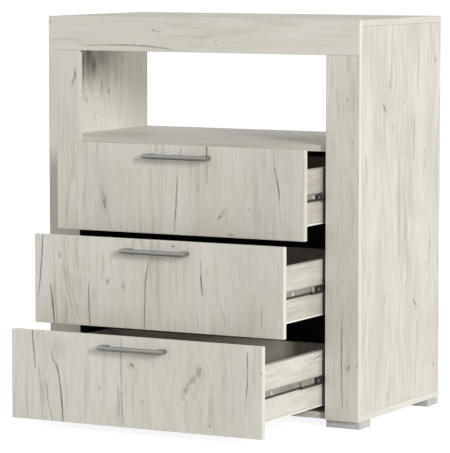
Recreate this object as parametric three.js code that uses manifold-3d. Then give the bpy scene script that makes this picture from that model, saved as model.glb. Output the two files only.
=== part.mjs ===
// Commode chest: an open niche over three drawers, all of light oak board.
// Millimetres, +Z up. The front faces -Y, and the feet stand on Z = 0.
// The drawers stand open by one, two and three steps, from the top one down.
// The origin is under the middle of the space that the chest then takes up.

import * as THREE from 'three';
import { mergeVertices } from 'three/addons/utils/BufferGeometryUtils.js';
import Module from 'manifold-3d';

// Body without its feet: the face frame's front to the back, side to side, and height.
const bodyWidth = 900;
const bodyDepth = 488;
const bodyHeight = 1003;
const boardThickness = 16;
const backPanelThickness = 4;

// Clearance between pieces that are glued, nailed or screwed face to face.
const seamGap = 0.3;

// Face frame: a full-width rail over two stiles.
const railHeight = 88;
const stileWidth = 92;

// Feet: flat blocks, flush with the sides and the back, set back from the front.
const footWidth = 96;
const footDepth = 62;
const footHeight = 20;
const footSetback = 14;
const footCornerRadius = 4;

// Drawers from the top one down, and their fronts, which lie between the stiles.
const drawerNames = ['top', 'middle', 'bottom'];
const frontHeight = 226;
const frontGap = 4;
const frontSideGap = 2;
const frontStandOff = 1.5;
const openingStep = 111.5;

// Drawer boxes. Heights are counted from the underside of the drawer's front.
const boxUnderside = 34;
const boxTop = 174;
const boxBottomThickness = 5;
const boxRearClearance = 19;

// Ball-bearing slides, one on each side of each drawer box.
const slideSpace = 12.7;
const slideAxisHeight = 103.5;
const slideSteel = 1.2;
const slideRunningGap = 0.4;
const slideLipGap = 1.2;
const slideFrontSetback = 2;
const slideRearClearance = 15;
const middleRailSetback = 28;
const ballTrackThickness = 3.2;
const drawerRailHeight = 20;

// Bow handles. The drop is from the top of the front to the middle of the handle.
const handleDrop = 29;
const handleHoleSpacing = 160;
const handleFootLength = 28;
const handleNeckLength = 14;
const handleProjection = 30;
const handleBarThickness = 8;
const handleHeight = 12;
const handleCornerRadius = 10;
const handleInnerRun = 26;
const handleEdgeRadius = 1;

// Handle screws, put in from inside the drawer.
const screwRadius = 2;
const screwEngagement = 10;
const screwHeadRadius = 4;
const screwHeadHeight = 2.5;
const screwHoleClearance = 0.5;
const threadClearance = 0.1;
const boreEndClearance = 2;

// Facets of round pieces and of curves.
const roundFacets = 16;
const cornerFacets = 4;
const curveFacets = 8;
const edgeFacets = 2;

// Levels and faces of the body that its pieces share.
const bodyBottom = footHeight;
const bodyTop = footHeight + bodyHeight;
const bodySide = bodyWidth / 2;
const frameBack = boardThickness;
const carcassFront = frameBack + seamGap;
const panelTop = bodyBottom + boardThickness;
const shelfTop = bodyBottom + drawerNames.length * (frontHeight + frontGap);
const shelfUnderside = shelfTop - boardThickness;
const innerBack = bodyDepth - backPanelThickness - seamGap;
const openingSide = bodySide - stileWidth;

// Faces of a closed drawer, and how far in and out its handle's holes lie.
const frontOuter = -frontStandOff;
const frontInner = frontOuter + boardThickness;
const frontSide = openingSide - frontSideGap;
const boxFront = frontInner + seamGap;
const boxRear = innerBack - boxRearClearance;
const boxSide = openingSide - slideSpace;
const holeX = handleHoleSpacing / 2;

// Nested rails of a slide, counted across it from the partition, and up from its axis.
const lipEnd = slideSpace - slideLipGap;
const middleWebBack = seamGap + slideSteel + slideRunningGap;
const drawerLipEnd = middleWebBack + slideSteel + slideRunningGap;
const drawerRailHalf = drawerRailHeight / 2;
const middleRailHalf = drawerRailHalf + slideRunningGap + ballTrackThickness;
const cabinetRailHalf = middleRailHalf + slideRunningGap + slideSteel;
const slideRear = innerBack - slideRearClearance;

// Finishes.

function oakDecor() {
  return new THREE.MeshStandardMaterial({ color: 0xcbc7bb, roughness: 0.62, metalness: 0 });
}

function whiteFibreboard() {
  return new THREE.MeshStandardMaterial({ color: 0xe9e7e1, roughness: 0.7, metalness: 0 });
}

function zincSteel() {
  return new THREE.MeshStandardMaterial({ color: 0x9c9a95, roughness: 0.38, metalness: 0.9 });
}

function satinMetal() {
  return new THREE.MeshStandardMaterial({ color: 0x979590, roughness: 0.34, metalness: 0.85 });
}

function greyPlastic() {
  return new THREE.MeshStandardMaterial({ color: 0xa9a9a7, roughness: 0.55, metalness: 0 });
}

// Shapes.

// Named piece with its middle at the given place.
function piece(name, geometry, material, x, y, z) {
  const mesh = new THREE.Mesh(geometry, material);
  mesh.name = name;
  mesh.position.set(x, y, z);
  return mesh;
}

// Flat board from its lowest corner to its highest.
function board(name, low, high, material) {
  const size = high.map((value, axis) => value - low[axis]);
  const middle = high.map((value, axis) => (value + low[axis]) / 2);
  return piece(name, new THREE.BoxGeometry(...size), material, ...middle);
}

// Outline in X and Z, drawn out along +Y from Y = 0.
function prismAlongY(outline, length) {
  const geometry = new THREE.ExtrudeGeometry(outline, { depth: length, bevelEnabled: false });
  geometry.rotateX(Math.PI / 2);
  geometry.translate(0, length, 0);
  return geometry;
}

// Rectangle around the origin with round corners.
function roundedRectangle(width, depth, radius) {
  const x = width / 2 - radius;
  const y = depth / 2 - radius;
  const outline = new THREE.Shape();
  outline.absarc(x, y, radius, 0, Math.PI / 2);
  outline.absarc(-x, y, radius, Math.PI / 2, Math.PI);
  outline.absarc(-x, -y, radius, Math.PI, 1.5 * Math.PI);
  outline.absarc(x, -y, radius, 1.5 * Math.PI, 2 * Math.PI);
  return outline;
}

// Solids for cutting.

const wasm = await Module();
wasm.setup();

function asSolid(geometry) {
  const bare = geometry.clone();
  bare.deleteAttribute('normal');
  bare.deleteAttribute('uv');
  const merged = mergeVertices(bare);
  return new wasm.Manifold(new wasm.Mesh({
    numProp: 3,
    vertProperties: new Float32Array(merged.attributes.position.array),
    triVerts: new Uint32Array(merged.index.array),
  }));
}

function asGeometry(solid) {
  const mesh = solid.getMesh();
  const geometry = new THREE.BufferGeometry();
  geometry.setAttribute('position', new THREE.BufferAttribute(mesh.vertProperties, 3));
  geometry.setIndex(new THREE.BufferAttribute(mesh.triVerts, 1));
  geometry.computeVertexNormals();
  return geometry;
}

// Geometry with round holes along Y, each from one depth to another.
function drilled(geometry, holes) {
  let solid = asSolid(geometry);
  for (const hole of holes) {
    const length = hole.toY - hole.fromY;
    const cutter = new THREE.CylinderGeometry(hole.radius, hole.radius, length, roundFacets);
    cutter.translate(hole.x, (hole.fromY + hole.toY) / 2, hole.z);
    solid = solid.subtract(asSolid(cutter));
  }
  return asGeometry(solid);
}

// Carcass: panels, shelf and the partitions that carry the slides.

function makeCarcass() {
  const carcass = new THREE.Group();
  const sideInner = bodySide - boardThickness;
  const underTop = bodyTop - boardThickness;

  carcass.add(board('top_panel',
    [-bodySide, carcassFront, underTop], [bodySide, bodyDepth, bodyTop], oakDecor()));
  carcass.add(board('bottom_panel',
    [-bodySide, carcassFront, bodyBottom], [bodySide, bodyDepth, panelTop], oakDecor()));
  carcass.add(board('shelf',
    [-sideInner + seamGap, carcassFront, shelfUnderside],
    [sideInner - seamGap, innerBack, shelfTop], oakDecor()));
  carcass.add(board('back_panel',
    [-sideInner + seamGap, innerBack + seamGap, panelTop + seamGap],
    [sideInner - seamGap, bodyDepth, shelfTop], whiteFibreboard()));

  for (const [hand, side] of [[-1, 'left'], [1, 'right']]) {
    const panelX = [hand * sideInner, hand * bodySide].sort((a, b) => a - b);
    carcass.add(board(`side_panel_${side}`,
      [panelX[0], carcassFront, panelTop + seamGap],
      [panelX[1], bodyDepth, underTop - seamGap], oakDecor()));
    const partitionOuter = openingSide + boardThickness;
    const partitionX = [hand * openingSide, hand * partitionOuter].sort((a, b) => a - b);
    carcass.add(board(`partition_${side}`,
      [partitionX[0], carcassFront, panelTop + seamGap],
      [partitionX[1], innerBack, shelfUnderside - seamGap], oakDecor()));
  }
  return carcass;
}

// Face frame, glued to the front edges of the carcass.

function makeFaceFrame() {
  const frame = new THREE.Group();
  const railUnderside = bodyTop - railHeight;
  frame.add(board('frame_rail',
    [-bodySide, 0, railUnderside], [bodySide, frameBack, bodyTop], oakDecor()));
  frame.add(board('frame_stile_left',
    [-bodySide, 0, bodyBottom], [-openingSide, frameBack, railUnderside - seamGap], oakDecor()));
  frame.add(board('frame_stile_right',
    [openingSide, 0, bodyBottom], [bodySide, frameBack, railUnderside - seamGap], oakDecor()));
  return frame;
}

// Feet under the four corners.

function makeFeet() {
  const feet = new THREE.Group();
  const outline = roundedRectangle(footWidth, footDepth, footCornerRadius);
  const settings = {
    depth: footHeight - seamGap,
    bevelEnabled: false,
    curveSegments: cornerFacets,
  };
  const x = bodySide - footWidth / 2;
  const rows = [['front', footSetback + footDepth / 2], ['rear', bodyDepth - footDepth / 2]];
  for (const [row, y] of rows) {
    for (const [hand, side] of [[-1, 'left'], [1, 'right']]) {
      const geometry = new THREE.ExtrudeGeometry(outline, settings);
      feet.add(piece(`foot_${row}_${side}`, geometry, greyPlastic(), hand * x, y, 0));
    }
  }
  return feet;
}

// Slides.

// Steel channel: the web's back, the lips' ends, half its height, and the flanges' thickness.
function channelOutline(hand, webBack, lips, halfHeight, flange) {
  const inward = Math.sign(lips - webBack);
  const webFront = webBack + inward * slideSteel;
  const corners = [
    [webBack, -halfHeight],
    [lips, -halfHeight],
    [lips, -halfHeight + flange],
    [webFront, -halfHeight + flange],
    [webFront, halfHeight - flange],
    [lips, halfHeight - flange],
    [lips, halfHeight],
    [webBack, halfHeight],
  ];
  const outline = new THREE.Shape();
  outline.setFromPoints(corners.map(([across, up]) => (
    new THREE.Vector2(hand * (openingSide - across), up)
  )));
  return outline;
}

function makeRail(name, outline, front, rear, z) {
  const geometry = prismAlongY(outline, rear - front);
  return piece(name, geometry, zincSteel(), 0, front, z);
}

function makeCabinetRail(drawer, side, hand, z) {
  const outline = channelOutline(hand, seamGap, lipEnd, cabinetRailHalf, slideSteel);
  const front = carcassFront + slideFrontSetback;
  return makeRail(`${drawer}_slide_${side}_cabinet_rail`, outline, front, slideRear, z);
}

function makeMiddleRail(drawer, side, hand, z) {
  const outline = channelOutline(
    hand, middleWebBack, lipEnd - slideRunningGap, middleRailHalf, ballTrackThickness);
  const front = carcassFront + middleRailSetback;
  const rear = slideRear - slideFrontSetback;
  return makeRail(`${drawer}_slide_${side}_middle_rail`, outline, front, rear, z);
}

function makeDrawerRail(drawer, side, hand, z) {
  const outline = channelOutline(
    hand, slideSpace - seamGap, drawerLipEnd, drawerRailHalf, slideSteel);
  const front = boxFront + slideFrontSetback;
  return makeRail(`${drawer}_slide_${side}_drawer_rail`, outline, front, boxRear, z);
}

// Drawers, modelled closed.

function makeDrawerFront(name, bottom) {
  const geometry = new THREE.BoxGeometry(2 * frontSide, boardThickness, frontHeight);
  const holes = [-holeX, holeX].map((x) => ({
    x,
    z: frontHeight / 2 - handleDrop,
    fromY: -boardThickness,
    toY: boardThickness,
    radius: screwRadius + screwHoleClearance,
  }));
  const middleY = (frontOuter + frontInner) / 2;
  const middleZ = bottom + frontHeight / 2;
  return piece(`${name}_front`, drilled(geometry, holes), oakDecor(), 0, middleY, middleZ);
}

function makeDrawerBox(name, bottom) {
  const box = new THREE.Group();
  const top = bottom + boxTop;
  const underside = bottom + boxUnderside;
  const sideBottom = underside + boxBottomThickness + seamGap;
  const boxInner = boxSide - boardThickness;
  box.add(board(`${name}_side_left`,
    [-boxSide, boxFront, sideBottom], [-boxInner, boxRear, top], oakDecor()));
  box.add(board(`${name}_side_right`,
    [boxInner, boxFront, sideBottom], [boxSide, boxRear, top], oakDecor()));
  box.add(board(`${name}_back`,
    [-boxInner + seamGap, boxRear - boardThickness, sideBottom],
    [boxInner - seamGap, boxRear, top], oakDecor()));
  box.add(board(`${name}_bottom`,
    [-boxSide, boxFront, underside],
    [boxSide, boxRear, underside + boxBottomThickness], whiteFibreboard()));
  return box;
}

// Bow handle seen from above: feet at Y = 0, bar towards -Y, legs that narrow to the bar.
function handleOutline() {
  const end = (handleHoleSpacing + handleFootLength) / 2;
  const footInner = end - handleFootLength;
  const neck = end - handleNeckLength;
  const barBack = handleBarThickness - handleProjection;
  const cornerX = end - handleCornerRadius;
  const cornerY = handleCornerRadius - handleProjection;
  const outline = new THREE.Shape();
  outline.moveTo(-end, 0);
  outline.absarc(-cornerX, cornerY, handleCornerRadius, Math.PI, 1.5 * Math.PI);
  outline.absarc(cornerX, cornerY, handleCornerRadius, 1.5 * Math.PI, 2 * Math.PI);
  outline.lineTo(end, 0);
  outline.lineTo(footInner, 0);
  outline.quadraticCurveTo(neck, barBack, neck - handleInnerRun, barBack);
  outline.lineTo(handleInnerRun - neck, barBack);
  outline.quadraticCurveTo(-neck, barBack, -footInner, 0);
  return outline;
}

function makeHandle(name, z) {
  const geometry = new THREE.ExtrudeGeometry(handleOutline(), {
    depth: handleHeight - 2 * handleEdgeRadius,
    bevelThickness: handleEdgeRadius,
    bevelSize: handleEdgeRadius,
    bevelOffset: -handleEdgeRadius,
    bevelSegments: edgeFacets,
    curveSegments: curveFacets,
  });
  geometry.translate(0, 0, handleEdgeRadius - handleHeight / 2);
  const bores = [-holeX, holeX].map((x) => ({
    x,
    z: 0,
    fromY: -screwEngagement - boreEndClearance,
    toY: handleProjection,
    radius: screwRadius + threadClearance,
  }));
  return piece(`${name}_handle`, drilled(geometry, bores), satinMetal(),
    0, frontOuter - seamGap, z);
}

// Screw along Y with its tip towards -Y and its head behind the drawer front.
function makeHandleScrew(name, side, x, z) {
  const shankLength = screwEngagement + 2 * seamGap + boardThickness;
  const profile = [
    [0, 0],
    [screwRadius, 0],
    [screwRadius, shankLength],
    [screwHeadRadius, shankLength],
    [screwHeadRadius, shankLength + screwHeadHeight],
    [0, shankLength + screwHeadHeight],
  ].map(([radius, y]) => new THREE.Vector2(radius, y));
  const geometry = new THREE.LatheGeometry(profile, roundFacets);
  const tip = frontInner + seamGap - shankLength;
  return piece(`${name}_handle_screw_${side}`, geometry, zincSteel(), x, tip, z);
}

function makeDrawer(drawer, bottom) {
  const name = `${drawer}_drawer`;
  const handleZ = bottom + frontHeight - handleDrop;
  const group = new THREE.Group();
  group.add(makeDrawerFront(name, bottom));
  group.add(makeDrawerBox(name, bottom));
  group.add(makeHandle(name, handleZ));
  group.add(makeHandleScrew(name, 'left', -holeX, handleZ));
  group.add(makeHandleScrew(name, 'right', holeX, handleZ));
  return group;
}

// Chest: the carcass, and each drawer with its two slides, standing open.

const furthestOpening = drawerNames.length * openingStep;
const foremost = frontOuter - seamGap - handleProjection - furthestOpening;

const chest = new THREE.Group();
chest.position.y = -(foremost + bodyDepth) / 2;
chest.add(makeCarcass());
chest.add(makeFaceFrame());
chest.add(makeFeet());

drawerNames.forEach((drawer, index) => {
  const bottom = shelfTop - (index + 1) * (frontHeight + frontGap);
  const opening = (index + 1) * openingStep;
  const slideZ = bottom + slideAxisHeight;
  const moving = makeDrawer(drawer, bottom);
  const runners = new THREE.Group();
  moving.position.y = -opening;
  runners.position.y = -opening / 2;
  for (const [hand, side] of [[-1, 'left'], [1, 'right']]) {
    chest.add(makeCabinetRail(drawer, side, hand, slideZ));
    runners.add(makeMiddleRail(drawer, side, hand, slideZ));
    moving.add(makeDrawerRail(drawer, side, hand, slideZ));
  }
  chest.add(runners);
  chest.add(moving);
});

export default chest;
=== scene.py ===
import math

import bmesh
import bpy
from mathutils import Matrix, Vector


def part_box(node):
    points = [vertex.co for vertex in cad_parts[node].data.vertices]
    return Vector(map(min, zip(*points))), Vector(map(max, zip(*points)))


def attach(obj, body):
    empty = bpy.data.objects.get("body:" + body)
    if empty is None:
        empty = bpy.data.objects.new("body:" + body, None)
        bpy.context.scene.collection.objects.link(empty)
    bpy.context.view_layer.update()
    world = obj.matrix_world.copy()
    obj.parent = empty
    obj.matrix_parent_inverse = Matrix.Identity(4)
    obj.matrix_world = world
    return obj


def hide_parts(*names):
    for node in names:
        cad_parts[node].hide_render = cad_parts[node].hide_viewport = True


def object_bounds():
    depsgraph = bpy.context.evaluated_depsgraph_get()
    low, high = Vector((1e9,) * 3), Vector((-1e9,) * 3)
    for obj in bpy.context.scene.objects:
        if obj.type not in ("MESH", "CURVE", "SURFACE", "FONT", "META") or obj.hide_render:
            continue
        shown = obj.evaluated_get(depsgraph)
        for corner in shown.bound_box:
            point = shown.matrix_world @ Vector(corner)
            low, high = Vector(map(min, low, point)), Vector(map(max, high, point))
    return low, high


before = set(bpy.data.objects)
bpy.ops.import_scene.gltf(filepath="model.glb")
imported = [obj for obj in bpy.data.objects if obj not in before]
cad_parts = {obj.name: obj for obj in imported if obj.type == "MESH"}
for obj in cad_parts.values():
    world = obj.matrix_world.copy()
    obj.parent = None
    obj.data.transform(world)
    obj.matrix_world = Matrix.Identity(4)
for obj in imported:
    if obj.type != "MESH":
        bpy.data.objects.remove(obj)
cad_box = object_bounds()

# Side panels: 16 mm boards faced on both sides with printed white oak decor, grain upright.
# They stand on the bottom panel, and thin plastic bands close their edges.

X, Y, Z = 0, 1, 2


def colour(red, green, blue):
    """Scene colour of an sRGB one, given in steps of 0 to 255."""
    steps = [channel / 255 for channel in (red, green, blue)]
    linear = [step / 12.92 if step < 0.04 else ((step + 0.055) / 1.055) ** 2.4 for step in steps]
    return (*linear, 1.0)


def add(tree, kind, sockets=None, **settings):
    """A shader node with its settings made and its sockets set or linked."""
    made = tree.nodes.new("ShaderNode" + kind)
    for name, value in settings.items():
        setattr(made, name, value)
    for name, value in (sockets or {}).items():
        if isinstance(value, bpy.types.NodeSocket):
            tree.links.new(value, made.inputs[name])
        else:
            made.inputs[name].default_value = value
    return made


def maths(operation, *values):
    """A Math node's result, in the same node tree as the sockets among its values."""
    tree = next(value.id_data for value in values if isinstance(value, bpy.types.NodeSocket))
    return add(tree, "Math", dict(enumerate(values)), operation=operation).outputs[0]


def noise(place, scale, detail=0.0):
    """Cloudy 0 to 1 pattern, with its own number of waves per metre along each axis."""
    tree = place.id_data
    stretched = add(tree, "VectorMath", {0: place, 1: scale}, operation="MULTIPLY").outputs[0]
    cloud = add(tree, "TexNoise", {"Vector": stretched, "Scale": 1.0, "Detail": detail})
    return cloud.outputs[0]


def waver(value, waves):
    """The same in one direction."""
    sockets = {"W": maths("MULTIPLY", value, waves), "Scale": 1.0}
    return add(value.id_data, "TexNoise", sockets, noise_dimensions="1D").outputs[0]


def blended(share, first, second):
    """The first colour at a share of 0, the second one at 1."""
    mixed = add(share.id_data, "Mix", {0: share, 6: first, 7: second}, data_type="RGBA")
    return mixed.outputs[2]


def ramp(value, *stops):
    """Colours between (place, colour) stops."""
    made = add(value.id_data, "ValToRGB", {0: value})
    elements = made.color_ramp.elements
    while len(elements) < len(stops):
        elements.new(0.5)
    for element, (place, shade) in zip(elements, stops):
        element.position = place
        element.color = shade
    return made.outputs[0]


def step_between(value, low, high):
    """0 below low, 1 above high and smooth between."""
    sockets = {"Value": value, "From Min": low, "From Max": high}
    return add(value.id_data, "MapRange", sockets, interpolation_type="SMOOTHSTEP").outputs[0]


def new_group(name, sizes, outputs):
    """A node group for a Place on a board and some numbers. Returns the Place's parts too."""
    tree = bpy.data.node_groups.new(name, "ShaderNodeTree")
    inputs = {"Place": "Vector", **dict.fromkeys(sizes, "Float")}
    for way, sockets in (("INPUT", inputs), ("OUTPUT", outputs)):
        for socket, kind in sockets.items():
            tree.interface.new_socket(socket, in_out=way, socket_type="NodeSocket" + kind)
    given = tree.nodes.new("NodeGroupInput").outputs
    result = tree.nodes.new("NodeGroupOutput").inputs
    parts = add(tree, "SeparateXYZ", {0: given["Place"]}).outputs
    return tree, given, result, parts


OAK_DARK = colour(184, 178, 166)
OAK_GREY = colour(206, 202, 191)
OAK_PALE = colour(221, 217, 207)
OAK_WHITE = colour(230, 227, 219)
OAK_BLUSH = colour(208, 196, 184)
OAK_CRACK = colour(84, 78, 70)


def white_oak_group():
    """White oak decor. Place is across the grain, through the board and along the grain."""
    sizes = ("Swirl", "Marks", "Contrast", "Tone")
    outputs = {"Colour": "Color", "Roughness": "Float", "Height": "Float"}
    tree, given, result, parts = new_group("white_oak", sizes, outputs)
    wander = noise(given["Place"], (2.2, 2.2, 1.3), 1.0)
    strayed = maths("MULTIPLY_ADD", wander, 0.05, parts[X])
    strayed = maths("ADD", strayed, given["Swirl"])
    growth = add(tree, "CombineXYZ", {0: strayed, 1: parts[Y], 2: parts[Z]}).outputs[0]

    cloud = noise(growth, (7, 7, 3.0), 2.0)
    plank = noise(growth, (14, 14, 1.0), 1.0)
    streak = noise(growth, (104, 104, 8.0), 1.0)
    rings = waver(noise(growth, (6, 6, 1.1)), 60.0)
    pore = noise(growth, (420, 420, 16), 1.0)
    vivid = step_between(noise(growth, (9, 9, 4), 1.0), 0.35, 0.68)
    ripple = maths("MULTIPLY_ADD", vivid, 0.34, 0.16)
    ripple = maths("MULTIPLY", maths("SUBTRACT", streak, 0.5), ripple)
    shade = maths("MULTIPLY_ADD", plank, 0.16, ripple)
    shade = maths("MULTIPLY_ADD", cloud, 0.22, shade)
    shade = maths("MULTIPLY_ADD", rings, 0.10, shade)
    shade = maths("MULTIPLY_ADD", pore, 0.14, shade)
    shade = maths("SUBTRACT", shade, 0.31)
    shade = maths("MULTIPLY_ADD", shade, given["Contrast"], given["Tone"])
    stops = ((0.30, OAK_DARK), (0.44, OAK_GREY), (0.52, OAK_PALE), (0.66, OAK_WHITE))
    base = ramp(shade, *stops)
    blush = step_between(noise(growth, (5, 5, 2.2), 1.0), 0.50, 0.72)
    base = blended(maths("MULTIPLY", blush, 0.30), base, OAK_BLUSH)
    base = blended(given["Marks"], base, OAK_CRACK)
    tree.links.new(base, result["Colour"])
    tree.links.new(maths("MULTIPLY_ADD", streak, 0.16, 0.46), result["Roughness"])
    relief = maths("MULTIPLY_ADD", streak, 0.5, maths("MULTIPLY", pore, 0.5))
    tree.links.new(maths("SUBTRACT", relief, given["Marks"]), result["Height"])
    return tree


MARK_RESULTS = {"Mark": "Float", "Swirl": "Float"}
TINY = 0.000001


def crack_group():
    """Thin dark split that runs with the grain between two points, bowed to one side."""
    sizes = ("From Across", "From Along", "To Across", "To Along", "Bow", "Shake", "Width", "Depth")
    tree, given, result, parts = new_group("crack", sizes, MARK_RESULTS)
    length = maths("SUBTRACT", given["To Along"], given["From Along"])
    gone = maths("SUBTRACT", parts[Z], given["From Along"])
    run = maths("DIVIDE", gone, length)
    left = maths("SUBTRACT", 1.0, run)
    middle = maths("MULTIPLY", maths("MULTIPLY", run, left), 4.0)
    middle = maths("MAXIMUM", middle, 0.0)
    lean = maths("SUBTRACT", given["To Across"], given["From Across"])
    line = maths("MULTIPLY_ADD", lean, run, given["From Across"])
    line = maths("MULTIPLY_ADD", given["Bow"], middle, line)
    shake = maths("SUBTRACT", waver(parts[Z], 60.0), 0.5)
    line = maths("MULTIPLY_ADD", shake, given["Shake"], line)
    off = maths("ABSOLUTE", maths("SUBTRACT", parts[X], line))
    half = maths("MULTIPLY", given["Width"], maths("SQRT", middle))
    half = maths("MULTIPLY", half, 1.25)
    near = maths("DIVIDE", off, maths("ADD", half, TINY))
    near = step_between(maths("SUBTRACT", 1.0, near), 0.0, 0.8)
    faded = maths("MULTIPLY_ADD", waver(parts[Z], 34.0), 1.1, 0.35)
    mark = maths("MULTIPLY", maths("MULTIPLY", near, faded), given["Depth"])
    inside = maths("GREATER_THAN", middle, 0.0)
    tree.links.new(maths("MULTIPLY", mark, inside), result["Mark"])
    return tree


def knot_group():
    """Small dark knot, and the sideways shift of the grain that flows round it."""
    sizes = ("Across", "Along", "Wide", "Tall", "Lean", "Depth")
    tree, given, result, parts = new_group("knot", sizes, MARK_RESULTS)
    up = maths("SUBTRACT", parts[Z], given["Along"])
    side = maths("SUBTRACT", parts[X], given["Across"])
    leant = maths("SUBTRACT", side, maths("MULTIPLY", given["Lean"], up))
    wide = maths("POWER", maths("DIVIDE", leant, given["Wide"]), 2.0)
    tall = maths("POWER", maths("DIVIDE", up, given["Tall"]), 2.0)
    ragged = noise(given["Place"], (230, 230, 80), 2.0)
    span = maths("ADD", wide, tall)
    torn = maths("MULTIPLY", span, maths("MULTIPLY_ADD", ragged, 3.0, 0.1))
    core = maths("EXPONENT", maths("MULTIPLY", torn, -1.0))
    core = maths("MULTIPLY", core, maths("MULTIPLY_ADD", ragged, 1.2, 0.4))
    tree.links.new(maths("MULTIPLY", core, given["Depth"]), result["Mark"])
    reach = maths("EXPONENT", maths("DIVIDE", span, -9.0))
    push = maths("MULTIPLY", maths("MULTIPLY", side, reach), -0.85)
    tree.links.new(push, result["Swirl"])
    return tree


def arch_group():
    """Dark line of a cathedral in the grain: a parabola round the grain's own direction."""
    sizes = ("Across", "Top", "Half", "Drop", "Width", "Depth")
    tree, given, result, parts = new_group("arch", sizes, MARK_RESULTS)
    share = maths("SUBTRACT", parts[X], given["Across"])
    share = maths("DIVIDE", share, given["Half"])
    fall = maths("MULTIPLY", maths("MULTIPLY", share, share), given["Drop"])
    curve = maths("SUBTRACT", given["Top"], fall)
    shake = maths("SUBTRACT", noise(given["Place"], (60, 60, 40)), 0.5)
    curve = maths("MULTIPLY_ADD", shake, 0.008, curve)
    slope = maths("MULTIPLY", share, maths("DIVIDE", given["Drop"], given["Half"]))
    slope = maths("MULTIPLY", slope, 2.0)
    steep = maths("SQRT", maths("MULTIPLY_ADD", slope, slope, 1.0))
    off = maths("ABSOLUTE", maths("SUBTRACT", parts[Z], curve))
    off = maths("DIVIDE", off, maths("MULTIPLY", steep, given["Width"]))
    near = step_between(maths("SUBTRACT", 1.0, off), 0.0, 0.8)
    inside = step_between(maths("SUBTRACT", 1.0, maths("ABSOLUTE", share)), 0.0, 0.3)
    worn = maths("MULTIPLY_ADD", noise(given["Place"], (45, 45, 30)), 1.6, -0.1)
    near = maths("MULTIPLY", near, worn)
    mark = maths("MULTIPLY", maths("MULTIPLY", near, inside), given["Depth"])
    tree.links.new(mark, result["Mark"])
    return tree


WHITE_OAK = white_oak_group()
CRACK = crack_group()
KNOT = knot_group()
ARCH = arch_group()
STAIN_AND_SHADE = KNOT.copy()
MM = 0.001


def mark(kind, lengths, *shares):
    """A mark of that kind: values for its group's inputs after Place, in their order."""
    names = [item.name for item in kind.interface.items_tree if item.in_out == "INPUT"]
    values = [MM * length for length in lengths] + list(shares)
    return kind, dict(zip(names[1:], values))


def crack(start, end, width, depth, bow=0, shake=4):
    """From start to end: (across, along) the grain in mm from the board's low corner."""
    return mark(CRACK, (*start, *end, bow, shake, width), depth)


def knot(across, along, wide, tall, depth, lean=0.0, kind=KNOT):
    """Its middle and its half sizes in mm."""
    return mark(kind, (across, along, wide, tall), lean, depth)


def stain_and_shade(*sizes):
    """A dark patch, which leaves the grain beside it straight. Some are stains in the decor, some
    painted shade.
    """
    return knot(*sizes, kind=STAIN_AND_SHADE)


def arch(across, top, half, drop, width, depth):
    """Its top, how far its legs drop at half its breadth, and its line's width, in mm."""
    return mark(ARCH, (across, top, half, drop, width), depth)


def finish(name, **sockets):
    """A material with its shader's own sockets set. Returns it, and the object's place in it."""
    material = bpy.data.materials.new(name)
    material.use_nodes = True
    tree = material.node_tree
    for socket, value in sockets.items():
        tree.nodes["Principled BSDF"].inputs[socket.replace("_", " ")].default_value = value
    return material, add(tree, "TexCoord").outputs["Object"]


def coat(tint, height, relief, strength, roughness=None):
    """Joins a finish to its shader. Relief is its depth in metres."""
    tree = tint.id_data
    bump = add(tree, "Bump", {"Height": height, "Distance": relief, "Strength": strength})
    wires = {"Base Color": tint, "Normal": bump.outputs[0]}
    if roughness is not None:
        wires["Roughness"] = roughness
    for socket, value in wires.items():
        tree.links.new(value, tree.nodes["Principled BSDF"].inputs[socket])


SHEET_SPACING = 1.3
OAK_RELIEF = 0.0002
FINE_RELIEF = 0.0001


def oak_face(name, corner, across, through, along, sheet, marks, contrast, tone):
    """White oak decor for one board, centred on its low corner and turned to its grain."""
    material, place = finish(name)
    tree = material.node_tree
    lowest = [-corner[axis] for axis in (X, Y, Z)]
    lowest[through] += SHEET_SPACING * sheet
    centred = add(tree, "Mapping", {"Vector": place, "Location": lowest}).outputs[0]
    parts = add(tree, "SeparateXYZ", {0: centred}).outputs
    turned = add(tree, "CombineXYZ", {0: parts[across], 1: parts[through], 2: parts[along]})
    darkness = 0.0
    swirl = 0.0
    for kind, values in marks:
        made = add(tree, "Group", {"Place": turned.outputs[0], **values}, node_tree=kind).outputs
        darkness = maths("MAXIMUM", made["Mark"], darkness)
        if kind == KNOT:
            swirl = maths("ADD", made["Swirl"], swirl)
    sockets = {"Place": turned.outputs[0], "Swirl": swirl, "Marks": darkness}
    sockets.update({"Contrast": contrast, "Tone": 0.5 + tone})
    oak = add(tree, "Group", sockets, node_tree=WHITE_OAK).outputs
    coat(oak["Colour"], oak["Height"], OAK_RELIEF, 0.6, oak["Roughness"])
    return material


def edge_band(name, run, dark, middle, light):
    """Plastic band for board edges, its printed streaks along one axis."""
    material, place = finish(name + "xyz"[run])
    stretch = [90.0, 90.0, 90.0]
    stretch[run] = 3.0
    streak = noise(place, stretch, 2.0)
    tint = ramp(streak, (0.3, dark), (0.5, middle), (0.7, light))
    coat(tint, streak, FINE_RELIEF, 0.5, maths("MULTIPLY_ADD", streak, 0.2, 0.4))
    return material


def edge_bands(name, *tints):
    return [edge_band(name, axis, *tints) for axis in (X, Y, Z)]


LOW_SHEETS = 40
BOARD_ROUNDING = 0.0006
EDGE_BANDS = edge_bands("oak_edge_band_", OAK_GREY, OAK_PALE, OAK_WHITE)


def in_scene(name, data):
    made = bpy.data.objects.new(name, data)
    bpy.context.scene.collection.objects.link(made)
    return made


def show(name, shape, body, node, materials):
    """The finished piece: its mesh, its materials, and the CAD node that it stands for."""
    bmesh.ops.recalc_face_normals(shape, faces=shape.faces)
    mesh = bpy.data.meshes.new(name)
    shape.to_mesh(mesh)
    shape.free()
    for material in materials:
        mesh.materials.append(material)
    piece = in_scene(name, mesh)
    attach(piece, body)
    if node:
        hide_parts(node)
    return piece


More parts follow.
